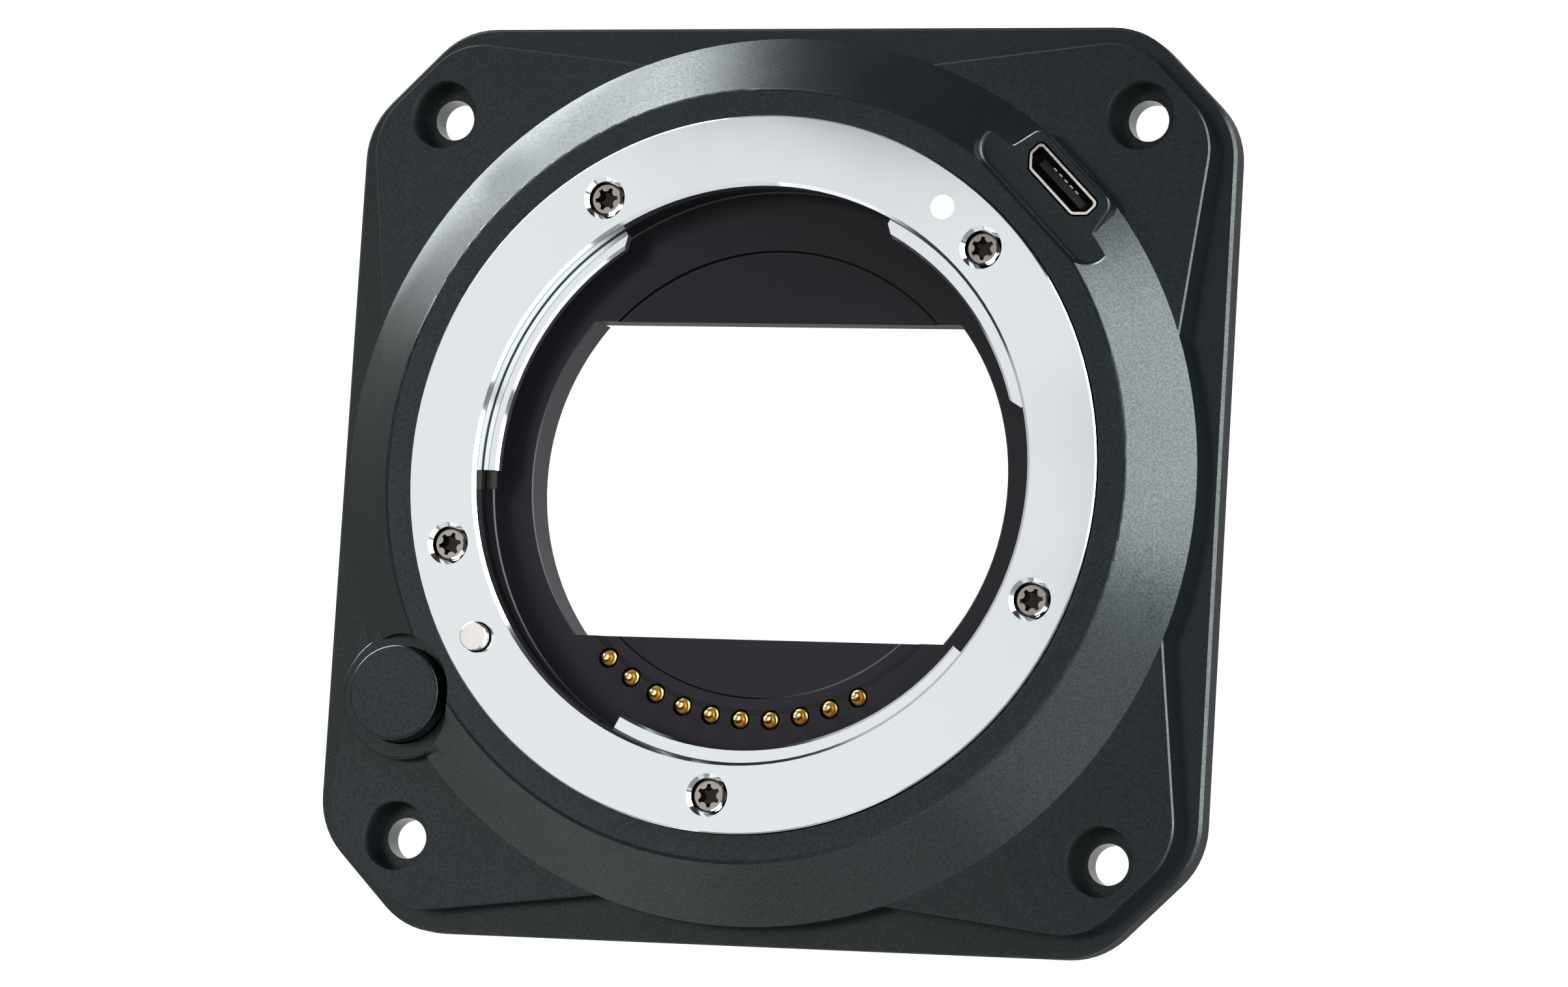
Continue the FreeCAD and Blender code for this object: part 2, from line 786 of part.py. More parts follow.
def light_baffle():
    plate_body = disc(baffle_radius, baffle_back, baffle_front)
    walls = window_block(window_wall, window_wall_end, baffle_back + overlap)
    lip_end = flap_front - flap_lip_depth
    reach = window_radius + window_wall
    for low, high in ((window_half_height, reach), (-reach, -window_half_height)):
        walls = walls.cut(slab(-reach, reach, low, high, window_wall_end, lip_end))
    posts = [disc(post_dia / 2, cover_thick, baffle_back, polar(post_place_radius, angle))
             for angle in post_angles]
    body = join(plate_body, walls, baffle_collar(), *posts)
    body = body.cut(flap_cutter())
    body = body.cut(window_block(0, window_wall_end, baffle_front))
    body = bevel_window(body)
    body = body.cut(disc(lifter_pin_radius + lifter_baffle_gap, baffle_back, baffle_front, pin_place()))
    holes = [disc(contact_hole_dia / 2, baffle_back, baffle_front, contact_place(index))
             for index in range(contact_count)]
    return one_solid(body.cut(holes))


def contact_crescent(margin, spare_angle, low, high):
    outer = contact_place_radius + margin
    inner = contact_place_radius - margin
    start = contact_angle(0) - spare_angle
    end = contact_angle(contact_count - 1) + spare_angle
    body = sector(outer, inner, start, end, low, high)
    limit = window_half_height + window_wall + drill_spare
    return body.common(slab(-outer, outer, -outer, -limit, low, high))


def barrel_holes(low, high):
    return [disc(barrel_dia / 2, low, high, contact_place(index)) for index in range(contact_count)]


def contact_block():
    body = contact_crescent(block_margin, block_spare_angle, block_back, baffle_back)
    return one_solid(body.cut(barrel_holes(block_back, baffle_back)))


def contact_board():
    body = contact_crescent(contact_board_margin, block_spare_angle, contact_board_back, contact_board_front)
    return one_solid(body.cut(barrel_holes(contact_board_back, contact_board_front)))


def contact_flex():
    """flat strip from the contact board's front to the main board's back"""
    start = contact_place_radius + block_margin + overlap
    end = baffle_radius + flex_reach
    middle = contact_angle((contact_count - 1) / 2)
    strip = slab(start, end, -flex_width / 2, flex_width / 2, contact_board_front,
                 contact_board_front + flex_thick)
    return turn(strip, middle)


def contact_barrel(index):
    """turned sleeve with a dished collar and a lip that keeps the pin in"""
    collar_low = barrel_top - barrel_collar_height
    lip_low = barrel_top - contact_lip
    lip_radius = tip_dia / 2 + contact_gap
    bore = barrel_bore_dia / 2
    collar = barrel_collar_dia / 2
    edge = barrel_collar_edge
    body = turned([
        (0, contact_board_back), (barrel_dia / 2, contact_board_back), (barrel_dia / 2, collar_low),
        (collar, collar_low), (collar, barrel_top - edge), (collar - edge, barrel_top),
        (lip_radius, barrel_top - contact_lip_mouth), (lip_radius, lip_low), (bore, lip_low),
        (bore, barrel_floor), (0, barrel_floor)])
    body.translate(contact_place(index))
    return body


def contact_pin(index):
    """plunger with a domed tip and a shoulder below the lip"""
    tip_radius = tip_dia / 2
    shoulder = barrel_bore_dia / 2 - contact_gap
    straight = barrel_top + tip_stand_out - tip_radius
    body = turned([
        (0, shoulder_bottom), (shoulder, shoulder_bottom), (shoulder, shoulder_top),
        (tip_radius, shoulder_top), (tip_radius, straight), (0, straight)])
    dome = Part.makeSphere(tip_radius, Vector(0, 0, straight), Vector(0, 0, 1), 0, 90, 360)
    body = join(body, dome)
    body.translate(contact_place(index))
    return body


def contact_spring(index):
    radius = barrel_bore_dia / 2 - contact_gap - contact_wire_dia / 2
    return coil(radius, contact_wire_dia, barrel_floor, shoulder_bottom, contact_coil_turns,
                contact_place(index))


# Lock pin, release button and lifter

def lock_pin():
    radius = pin_dia / 2
    top = face_height + pin_stand_out
    body = turned([
        (0, pin_tail_end), (pin_tail_dia / 2, pin_tail_end), (pin_tail_dia / 2, pin_collar_bottom),
        (pin_collar_dia / 2, pin_collar_bottom), (pin_collar_dia / 2, lifter_bottom),
        (radius, lifter_bottom), (radius, top - pin_edge_break), (radius - pin_edge_break, top), (0, top)])
    body.translate(pin_place())
    return body


def release_button():
    """cap with a blind screw hole in its foot"""
    radius = button_dia / 2
    body = round_edges(disc(radius, lifter_top, button_top, button_place()), button_top, button_edge_round)
    hole_top = lifter_bottom + lifter_screw_length + drill_spare
    return body.cut(disc(lifter_screw_dia / 2, lifter_top, hole_top, button_place()))


def lifter_plate():
    body = lock_pocket(lifter_bottom, lifter_top, 0)
    holes = [disc(pin_dia / 2 + pin_gap, lifter_bottom, lifter_top, pin_place()),
             disc(lifter_screw_dia / 2 + pin_gap, lifter_bottom, lifter_top, button_place())]
    return one_solid(body.cut(holes))


def lifter_screw():
    return cross_pan_screw(button_place(), lifter_bottom, lifter_bottom - lifter_screw_head_height,
                           lifter_screw_head_dia, lifter_screw_dia, lifter_screw_length, 1)


def button_spring():
    return coil(button_spring_radius, button_wire_dia, cover_thick, lifter_bottom, lock_coil_turns,
                button_place())


def lock_pin_spring():
    radius = (pin_collar_dia - pin_wire_dia) / 2 - lifter_gap
    return coil(radius, pin_wire_dia, cover_thick, pin_collar_bottom, lock_coil_turns, pin_place())


# Micro USB socket

def usb_shell():
    top = usb_pad_top - usb_rim_drop
    body = usb_prism(0, board_front, top)
    return body.cut(usb_prism(-usb_wall, board_front, top))


def tongue_front():
    return usb_outer_side - usb_wall - tongue_offset


def usb_tongue():
    """insulator: a base that fills the shell and a tongue that stands in it"""
    base = usb_prism(-usb_wall, board_front, board_front + usb_base_thick)
    front = tongue_front()
    blade = slab(front - tongue_thick, front, -tongue_width / 2, tongue_width / 2,
                 board_front + tongue_root, usb_pad_top - tongue_drop)
    return one_solid(join(base, turn(blade, usb_angle)))


def usb_contact(index):
    side = (index - (usb_contact_count - 1) / 2) * usb_contact_pitch
    front = tongue_front()
    half = usb_contact_width / 2
    strip = slab(front, front + usb_contact_thick, side - half, side + half, board_front + usb_base_thick,
                 usb_pad_top - usb_contact_drop)
    return turn(strip, usb_angle)


# Circuit board and rear cover

def circuit_board():
    inner = baffle_radius + board_inner_gap
    outer = board_pocket_radius - board_gap
    start, end = board_notch_angles
    body = tube(outer, inner, board_back_height, board_front)
    reach = usb_outer_side + usb_gap
    lobe = slab(usb_lobe_start(), reach, -board_usb_half_width, board_usb_half_width, board_back_height,
                board_front)
    body = join(body, turn(lobe, usb_angle))
    body = body.cut(sector(plate_side, 0, start, end, board_back_height, board_front))
    holes = [disc(board_screw_dia / 2, board_back_height, board_front, polar(board_screw_place_radius, angle))
             for angle in board_screw_angles]
    return one_solid(body.cut(holes))


def controller_chip():
    half = chip_side / 2
    body = slab(chip_place_radius - half, chip_place_radius + half, -half, half, board_front,
                board_front + chip_thick)
    return turn(body, chip_angle)


def board_screws():
    head_top = board_back_height - board_screw_head_height
    return [cross_pan_screw(polar(board_screw_place_radius, angle), board_back_height, head_top,
                            board_screw_head_dia, board_screw_dia, board_screw_length, 1)
            for angle in board_screw_angles]


def cover_screw_hole(place):
    wide = cover_screw_head_dia / 2
    narrow = cover_screw_dia / 2
    cone_cut = Part.makeCone(wide, narrow, cover_screw_cone, Vector(place.x, place.y, 0))
    return join(cone_cut, disc(narrow, 0, cover_thick, place))


def rear_cover():
    """flat closing plate with the window and the slot that shows the board's contact pads"""
    body = cover_outline(0, 0, cover_thick)
    cuts = [window_block(window_wall + cover_window_gap, 0, cover_thick)]
    cuts.append(sector(pad_slot_inner + pad_slot_width, pad_slot_inner, *pad_slot_angles, 0, cover_thick))
    cuts += [cover_screw_hole(polar(cover_screw_place_radius, angle)) for angle in cover_screw_angles]
    return one_solid(body.cut(cuts))


def cover_screws():
    pieces = []
    for angle in cover_screw_angles:
        place = polar(cover_screw_place_radius, angle)
        head = Part.makeCone(cover_screw_head_dia / 2, cover_screw_dia / 2, cover_screw_cone,
                             Vector(place.x, place.y, 0))
        shank = disc(cover_screw_dia / 2, cover_screw_cone, cover_screw_length, place)
        drive = cross_socket(cover_screw_head_dia * 0.3, 0, cross_depth, place)
        pieces.append(one_solid(join(head, shank).cut(drive)))
    return pieces


# Writing the pieces

def pieces():
    table = {
        "housing": housing(), "bayonet_ring": bayonet_ring(), "bayonet_screws": bayonet_screws(),
        "index_dot": index_dot(), "light_baffle": light_baffle(), "contact_block": contact_block(),
        "contact_board": contact_board(), "contact_flex": contact_flex(), "lock_pin": lock_pin(),
        "lock_pin_spring": lock_pin_spring(), "release_button": release_button(),
        "lifter_plate": lifter_plate(),
        "lifter_screw": lifter_screw(), "button_spring": button_spring(), "usb_shell": usb_shell(),
        "usb_tongue": usb_tongue(), "circuit_board": circuit_board(), "controller_chip": controller_chip(),
        "board_screws": board_screws(), "rear_cover": rear_cover(), "cover_screws": cover_screws()}
    for index, end in enumerate(leaf_end_angles):
        table[f"leaf_spring_{index + 1}"] = leaf_spring(end)
    for index in range(contact_count):
        table[f"contact_barrel_{index + 1:02d}"] = contact_barrel(index)
        table[f"contact_pin_{index + 1:02d}"] = contact_pin(index)
        table[f"contact_spring_{index + 1:02d}"] = contact_spring(index)
    for index in range(usb_contact_count):
        table[f"usb_contact_{index + 1}"] = usb_contact(index)
    return table


os.makedirs("parts", exist_ok=True)
for node, shape in pieces().items():
    if isinstance(shape, list):
        shape = Part.makeCompound(shape)
    shape.exportStep(f"parts/{node}.step")
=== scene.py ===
import math

import bpy
from mathutils import Euler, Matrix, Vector


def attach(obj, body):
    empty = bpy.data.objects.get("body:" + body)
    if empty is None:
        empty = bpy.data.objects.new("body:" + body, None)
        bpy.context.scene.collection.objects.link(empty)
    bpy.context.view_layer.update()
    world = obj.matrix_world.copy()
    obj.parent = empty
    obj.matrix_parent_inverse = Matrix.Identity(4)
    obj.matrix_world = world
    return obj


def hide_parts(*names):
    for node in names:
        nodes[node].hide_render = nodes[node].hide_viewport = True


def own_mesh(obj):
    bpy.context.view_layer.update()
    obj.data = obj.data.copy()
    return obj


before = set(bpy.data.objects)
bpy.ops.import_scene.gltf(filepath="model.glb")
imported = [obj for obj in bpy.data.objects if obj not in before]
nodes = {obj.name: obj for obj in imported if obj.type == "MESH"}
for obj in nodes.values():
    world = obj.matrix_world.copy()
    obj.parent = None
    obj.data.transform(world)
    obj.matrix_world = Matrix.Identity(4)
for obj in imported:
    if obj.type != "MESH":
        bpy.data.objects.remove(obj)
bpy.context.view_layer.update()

# Lens mount adapter, seen a little from the right and from below, on a white studio floor. Metres, unless a name
# ends in _MM or _DEG. The origin lies on the optical axis in the back face, with Z towards the lens.

MM = 0.001

# Camera: the place and turn that were fitted to the photograph's ellipses and straight edges
CAMERA_PLACE = (0.17488, -0.06577, 0.50986)
CAMERA_TURN_DEG = (7.295, 18.774, 1.124)
LENS_MM = 155.12
SENSOR_MM = 36.0
CLIP_START = 0.01

# Floor: a grey that keeps a faint shadow, and a lift that makes it white to the camera. Polished walls see a share
# of the lift inside the window's radius, and inside the reach of each corner hole, whose middle lies at the offset
FLOOR_HEIGHT = -0.00005
FLOOR_SIDE = 4.0
FLOOR_GREY = 0.25
FLOOR_LIFT = 0.97
WINDOW_RADIUS = 0.026
WINDOW_SHARE = 0.36
HOLE_OFFSET = 0.0295
HOLE_REACH = 0.0045
HOLE_SHARE = 1.0

# Lamps, each a softbox aimed at the part: azimuth and elevation in degrees, distance, width, height, radiance
SOFTBOXES = {
    "overhead": (171.5, 66.7, 0.45, 0.17, 0.17, 0.79),
    "overhead_right": (20.0, 69.0, 0.45, 0.14, 0.12, 1.15),
    "overhead_low": (-48.0, 66.0, 0.45, 0.30, 0.13, 1.15),
    "left_box": (136.0, 12.0, 0.80, 0.58, 0.34, 19.3),
    "right_box": (22.0, 28.0, 0.80, 0.80, 0.46, 7.5),
    "lower_right": (-40.0, 34.0, 0.80, 0.64, 0.35, 1.3),
    "low_right": (4.0, 12.0, 0.80, 1.60, 0.16, 2.2),
    "lower_left": (-140.0, 10.0, 0.80, 0.80, 0.30, 0.8),
    "front_fill": (-95.0, 22.0, 0.90, 0.70, 0.40, 0.5),
}

# Room: its grey level in front of the part and behind it
WORLD_FRONT = 0.36
WORLD_BACK = 0.03

# Coil springs, each with the joint that shortens it and that joint's stroke
BUTTON_STROKE = 0.00105
PIN_STROKE = 0.0006
SPRINGS = {
    "button_spring": ("release_button_press", BUTTON_STROKE),
    "lock_pin_spring": ("lock_pin_slide", BUTTON_STROKE),
}
for number in range(1, 11):
    SPRINGS[f"contact_spring_{number:02d}"] = (f"contact_{number:02d}_slide", PIN_STROKE)

# All finishes: the part of a noise's range that is used for soft patches, and the bevel's accuracy
CLOUD_RANGE = (0.3, 0.7)
BEVEL_SAMPLES = 4

# Blasted anodising: colour, and the two tints between which its fine grains sparkle
ANODISED = (0.0026, 0.0048, 0.0057)
ANODISED_ROUGHNESS = 0.27
ANODISED_GRAIN_MM = 0.07
ANODISED_DEPTH_MM = 0.007
ANODISED_CLOUD_MM = 9.0
SPARKLE_MM = 0.16
SPARKLE_RANGE = (0.36, 0.64)
SPARKLE_DIM = (0.57, 0.66, 0.69)
SPARKLE_BRIGHT = (0.88, 0.99, 1.0)

# Ring: colour, the painted shade lines at the top and at the foot of the throat's wall, the heights at which they
# lie, and the radii between which the wall lies
CHROME = (0.785, 0.822, 0.845)
CHROME_ROUGHNESS = 0.08
CHROME_PAINTED_SHADE = (0.10, 0.105, 0.11)
THROAT_SHADE_HEIGHT = 0.00856
THROAT_SHADE_REACH = (0.00006, 0.00008)
THROAT_FOOT_SHADE = (0.00740, 0.00742)
THROAT_WALL_OUT = (0.02307, 0.02309)
THROAT_WALL_IN = (0.02292, 0.02294)
LATHE_PITCH_MM = 0.2
LATHE_DEPTH_MM = 0.00012

# Ring screws: their heads, and the shade painted nearly black in their sockets and round their heads, told apart by
# height
SCREW_FACE = (0.42, 0.38, 0.345)
SCREW_PAINTED_SHADE = (0.030, 0.027, 0.025)
SCREW_SHADE_HEIGHTS = (0.00828, 0.00840)

# Baffle: colour and tint of its sheen; the painted shade on the collar's wall and in the upper step; the circle of
# the step, with painted shade above the window, and below it a lighter colour with no sheen that stands in for the
# sheen around it and hides the step; and the circle of a painted groove below the window, painted shade at the left
# turning to a painted highlight at the right between two places along X
BAFFLE = (0.0070, 0.0064, 0.0088)
BAFFLE_TINT = (0.94, 0.90, 1.0)
BAFFLE_ROUGHNESS = 0.38
BAFFLE_PAINTED_SHADE = (0.0025, 0.0023, 0.0030)
COLLAR_FOOT = (0.00384, 0.00390)
BELOW_WINDOW = (-0.0110, -0.0109)
STEP_RADIUS = 0.01856
STEP_ABOVE_REACH = (0.00007, 0.00012)
STEP_BELOW_REACH = (0.00018, 0.00026)
STEP_BELOW_PAINTED_SHEEN = (0.0140, 0.0131, 0.0162)
STEP_BELOW_ROUGHNESS = 0.95
LINE_RADIUS = 0.01741
LINE_REACH = (0.00004, 0.00008)
LINE_PAINTED_HIGHLIGHT = (0.110, 0.107, 0.115)
LINE_TURNS = (0.000, 0.008)
NO_SHEEN = (0, 0, 0)


# Material helpers

def scaled(color, share):
    return tuple(channel * share for channel in color)


class Finish:
    """a node material with one Principled shader and short names for the nodes around it"""

    def __init__(self, name, color, roughness, metallic=0.0, ior=1.5):
        self.material = bpy.data.materials.new(name)
        self.material.use_nodes = True
        self.tree = self.material.node_tree
        self.shader = self.tree.nodes["Principled BSDF"]
        self.shader.inputs["Base Color"].default_value = (*color, 1)
        self.shader.inputs["Roughness"].default_value = roughness
        self.shader.inputs["Metallic"].default_value = metallic
        self.shader.inputs["IOR"].default_value = ior
        self.place = self.node("ShaderNodeTexCoord").outputs["Object"]
        self.normal = None

    def node(self, kind, **settings):
        made = self.tree.nodes.new(kind)
        for key, value in settings.items():
            setattr(made, key, value)
        return made

    def link(self, output, socket):
        self.tree.links.new(output, socket)

    # Values

    def along(self, axis):
        """distance from the origin along X, Y or Z"""
        parts = self.node("ShaderNodeSeparateXYZ")
        self.link(self.place, parts.inputs["Vector"])
        return parts.outputs[axis]

    def radius(self):
        """distance from the optical axis"""
        squares = [self.math("POWER", self.along(axis), 2.0) for axis in ("X", "Y")]
        return self.math("SQRT", self.math("ADD", *squares))

    def noise(self, size_mm, detail=2.0, rough=0.5):
        """noise whose lumps are about size_mm across"""
        made = self.node("ShaderNodeTexNoise")
        made.inputs["Scale"].default_value = 1 / (size_mm * MM)
        made.inputs["Detail"].default_value = detail
        made.inputs["Roughness"].default_value = rough
        self.link(self.place, made.inputs["Vector"])
        return made.outputs["Fac"]

    def math(self, operation, first, second=None):
        made = self.node("ShaderNodeMath", operation=operation)
        for socket, value in zip(made.inputs, (first, second)):
            if value is None:
                continue
            if isinstance(value, (int, float)):
                socket.default_value = value
            else:
                self.link(value, socket)
        return made.outputs["Value"]

    def ramp(self, value, low, high, low_out, high_out):
        made = self.node("ShaderNodeMapRange")
        self.link(value, made.inputs["Value"])
        for key, number in (("From Min", low), ("From Max", high), ("To Min", low_out), ("To Max", high_out)):
            made.inputs[key].default_value = number
        return made.outputs["Result"]

    def near(self, value, middle, reach):
        """1 where the value is the middle one, falling to 0 over the two distances in reach"""
        off = self.math("ABSOLUTE", self.math("SUBTRACT", value, middle))
        return self.ramp(off, *reach, 1.0, 0.0)

    # Colours

    def blend(self, value, first, second):
        """blend from one plain colour to another"""
        made = self.node("ShaderNodeMix", data_type="RGBA")
        self.link(value, made.inputs["Factor"])
        made.inputs["A"].default_value = (*first, 1)
        made.inputs["B"].default_value = (*second, 1)
        return made.outputs["Result"]

    def mix(self, value, first, second):
        """blend from the output first to the plain colour second"""
        made = self.node("ShaderNodeMix", data_type="RGBA")
        self.link(value, made.inputs["Factor"])
        self.link(first, made.inputs["A"])
        made.inputs["B"].default_value = (*second, 1)
        return made.outputs["Result"]

    # Inputs of the shader

    def color(self, output):
        self.link(output, self.shader.inputs["Base Color"])

    def tint(self, output):
        self.link(output, self.shader.inputs["Specular Tint"])

    def roughness(self, output):
        self.link(output, self.shader.inputs["Roughness"])

    def uneven(self, size_mm, detail, low, high):
        """roughness that drifts between two values, in soft patches about size_mm across"""
        self.roughness(self.ramp(self.noise(size_mm, detail=detail), *CLOUD_RANGE, low, high))

    def set_normal(self, made):
        """carry on from the normal so far"""
        if self.normal:
            self.link(self.normal, made.inputs["Normal"])
        self.normal = made.outputs["Normal"]
        self.link(self.normal, self.shader.inputs["Normal"])

    def soften_edges(self, radius_mm):
        """rounds the shading of sharp edges, as a light machining break does"""
        made = self.node("ShaderNodeBevel", samples=BEVEL_SAMPLES)
        made.inputs["Radius"].default_value = radius_mm * MM
        self.set_normal(made)

    def bump(self, height, depth_mm):
        made = self.node("ShaderNodeBump")
        made.inputs["Distance"].default_value = depth_mm * MM
        made.inputs["Strength"].default_value = 1.0
        self.link(height, made.inputs["Height"])
        self.set_normal(made)

    def lathe_marks(self, pitch_mm, depth_mm):
        """faint turning lines round the optical axis"""
        throat_shade = self.node("ShaderNodeTexNoise", noise_dimensions="1D")
        throat_shade.inputs["Scale"].default_value = 1 / (pitch_mm * MM)
        throat_shade.inputs["Detail"].default_value = 2.0
        self.link(self.radius(), throat_shade.inputs["W"])
        self.bump(throat_shade.outputs["Fac"], depth_mm)


# Materials

def blasted_anodised():
    """black anodising over a bead-blasted surface, which sparkles in fine grains"""
    finish = Finish("anodised_black_blasted", ANODISED, ANODISED_ROUGHNESS, ior=1.65)
    grain = finish.noise(ANODISED_GRAIN_MM, rough=0.6)
    finish.color(finish.blend(grain, scaled(ANODISED, 0.75), scaled(ANODISED, 1.35)))
    sparkle = finish.ramp(finish.noise(SPARKLE_MM, detail=1.0), *SPARKLE_RANGE, 0.0, 1.0)
    finish.tint(finish.blend(sparkle, SPARKLE_DIM, SPARKLE_BRIGHT))
    finish.uneven(ANODISED_CLOUD_MM, 3.0, ANODISED_ROUGHNESS - 0.03, ANODISED_ROUGHNESS + 0.03)
    finish.bump(grain, ANODISED_DEPTH_MM)
    return finish.material


def plated_metal(name, color, roughness, blotch=0.03):
    """plain polished or plated metal with a slightly uneven sheen"""
    finish = Finish(name, color, roughness, metallic=1.0)
    finish.uneven(2.5, 3.0, max(roughness - blotch, 0.02), roughness + blotch)
    finish.bump(finish.noise(0.25), 0.0015)
    return finish.material


def ring_chrome():
    """polished ring with a line of painted shade at the top and at the foot of the throat's wall"""
    finish = Finish("ring_chrome", CHROME, CHROME_ROUGHNESS, metallic=1.0)
    height = finish.along("Z")
    radius = finish.radius()
    # painted shade: a dark line in the corners at the top and at the foot of the throat's wall
    top_shade = finish.near(height, THROAT_SHADE_HEIGHT, THROAT_SHADE_REACH)
    foot_shade = finish.ramp(height, *THROAT_FOOT_SHADE, 1.0, 0.0)
    wall_out = finish.ramp(radius, *THROAT_WALL_OUT, 1.0, 0.0)
    wall_in = finish.ramp(radius, *THROAT_WALL_IN, 0.0, 1.0)
    on_wall = finish.math("MULTIPLY", wall_out, wall_in)
    throat_shade = finish.math("MULTIPLY", finish.math("MAXIMUM", top_shade, foot_shade), on_wall)
    finish.color(finish.blend(throat_shade, CHROME, CHROME_PAINTED_SHADE))
    finish.uneven(12.0, 2.0, CHROME_ROUGHNESS - 0.02, CHROME_ROUGHNESS + 0.02)
    finish.lathe_marks(LATHE_PITCH_MM, LATHE_DEPTH_MM)
    return finish.material


def screw_nickel():
    """dark nickel on the ring's screws, with shade painted nearly black inside their sockets and round their heads"""
    finish = Finish("screw_nickel", SCREW_FACE, 0.14, metallic=1.0)
    # painted shade below the heads' tops, in the sockets and in the gaps round the heads
    out_of_shade = finish.ramp(finish.along("Z"), *SCREW_SHADE_HEIGHTS, 0.0, 1.0)
    finish.color(finish.blend(out_of_shade, SCREW_PAINTED_SHADE, SCREW_FACE))
    finish.uneven(0.8, 3.0, 0.10, 0.20)
    finish.bump(finish.noise(0.2), 0.002)
    return finish.material


def moulded_plastic(name, color, roughness):
    """plastic with a fine moulded grain"""
    finish = Finish(name, color, roughness, ior=1.45)
    grain = finish.noise(0.18, detail=3.0, rough=0.6)
    finish.color(finish.blend(grain, scaled(color, 0.85), scaled(color, 1.15)))
    finish.soften_edges(0.06)
    finish.bump(grain, 0.004)
    return finish.material


def baffle_plastic():
    """matt plastic, with painted shade on the collar's wall and in the step above the window. Below the window the
    step is hidden under a lighter painted colour with no sheen, standing in for the sheen around it, and a painted
    groove line runs inside it, painted shade at the left and a painted highlight at the right"""
    finish = Finish("baffle_plastic", BAFFLE, BAFFLE_ROUGHNESS)
    grain = finish.noise(0.12, detail=3.0, rough=0.6)
    radius = finish.radius()
    # painted shade on the collar's wall and in the step above the window
    collar_shade = finish.ramp(finish.along("Z"), *COLLAR_FOOT, 0.0, 1.0)
    below = finish.ramp(finish.along("Y"), *BELOW_WINDOW, 1.0, 0.0)
    above = finish.math("SUBTRACT", 1.0, below)
    at_right = finish.ramp(finish.along("X"), *LINE_TURNS, 0.0, 1.0)
    step_above_shade = finish.math("MULTIPLY", finish.near(radius, STEP_RADIUS, STEP_ABOVE_REACH), above)
    step_below_cover = finish.math("MULTIPLY", finish.near(radius, STEP_RADIUS, STEP_BELOW_REACH), below)
    # painted groove line: painted shade at the left turning to a painted highlight at the right
    groove_shading = finish.math("MULTIPLY", finish.near(radius, LINE_RADIUS, LINE_REACH), below)
    painted_dark = finish.math("MAXIMUM", collar_shade, finish.math("MAXIMUM", step_above_shade, groove_shading))

    shaded = finish.blend(grain, scaled(BAFFLE, 0.88), scaled(BAFFLE, 1.12))
    shaded = finish.mix(painted_dark, shaded, BAFFLE_PAINTED_SHADE)
    # painted sheen: below the window a lighter colour with no sheen stands in for the sheen around the step and hides
    # it
    shaded = finish.mix(step_below_cover, shaded, STEP_BELOW_PAINTED_SHEEN)
    finish.color(finish.mix(finish.math("MULTIPLY", groove_shading, at_right), shaded, LINE_PAINTED_HIGHLIGHT))
    painted_marks = finish.math("MAXIMUM", finish.math("MAXIMUM", step_above_shade, step_below_cover), groove_shading)
    finish.tint(finish.blend(painted_marks, BAFFLE_TINT, NO_SHEEN))
    finish.roughness(finish.ramp(step_below_cover, 0.0, 1.0, BAFFLE_ROUGHNESS, STEP_BELOW_ROUGHNESS))
    finish.soften_edges(0.05)
    finish.bump(grain, 0.003)
    return finish.material


def solder_mask():
    """green board with faint copper runs under the mask"""
    finish = Finish("solder_mask", (0.01, 0.09, 0.035), 0.3)
    runs = finish.node("ShaderNodeTexWave", bands_direction="DIAGONAL")
    runs.inputs["Scale"].default_value = 900
    runs.inputs["Distortion"].default_value = 6
    runs.inputs["Detail"].default_value = 0
    finish.link(finish.place, runs.inputs["Vector"])
    edge = finish.ramp(runs.outputs["Fac"], 0.45, 0.55, 0.0, 1.0)
    finish.color(finish.blend(edge, (0.006, 0.062, 0.026), (0.016, 0.12, 0.045)))
    finish.bump(edge, 0.02)
    return finish.material


def amber_film():
    finish = Finish("amber_film", (0.45, 0.17, 0.03), 0.3)
    finish.color(finish.blend(finish.noise(1.5), (0.38, 0.13, 0.02), (0.52, 0.2, 0.04)))
    return finish.material


def white_paint():
    finish = Finish("white_paint", (0.94, 0.94, 0.94), 0.35)
    finish.bump(finish.noise(0.3), 0.003)
    return finish.material


def slot_finishes():
    """a material for each slot of the record"""
    return {
        "anodised_black": blasted_anodised(),
        "bayonet_chrome": ring_chrome(),
        "dark_nickel": plated_metal("dark_nickel_plate", SCREW_FACE, 0.12),
        "white_mark": white_paint(),
        "baffle_black": baffle_plastic(),
        "insulator_black": moulded_plastic("insulator_plastic", (0.012, 0.012, 0.013), 0.4),
        "board_green": solder_mask(),
        "flex_amber": amber_film(),
        "contact_gold": plated_metal("gold_plate", (1.0, 0.75, 0.28), 0.30),
        "spring_steel": plated_metal("spring_wire_steel", (0.62, 0.62, 0.62), 0.25),
        "stainless": plated_metal("turned_stainless", (0.93, 0.90, 0.86), 0.2),
        "usb_steel": plated_metal("usb_shell_steel", (0.97, 0.94, 0.87), 0.10),
        "chip_black": moulded_plastic("chip_resin", (0.015, 0.015, 0.016), 0.5),
    }


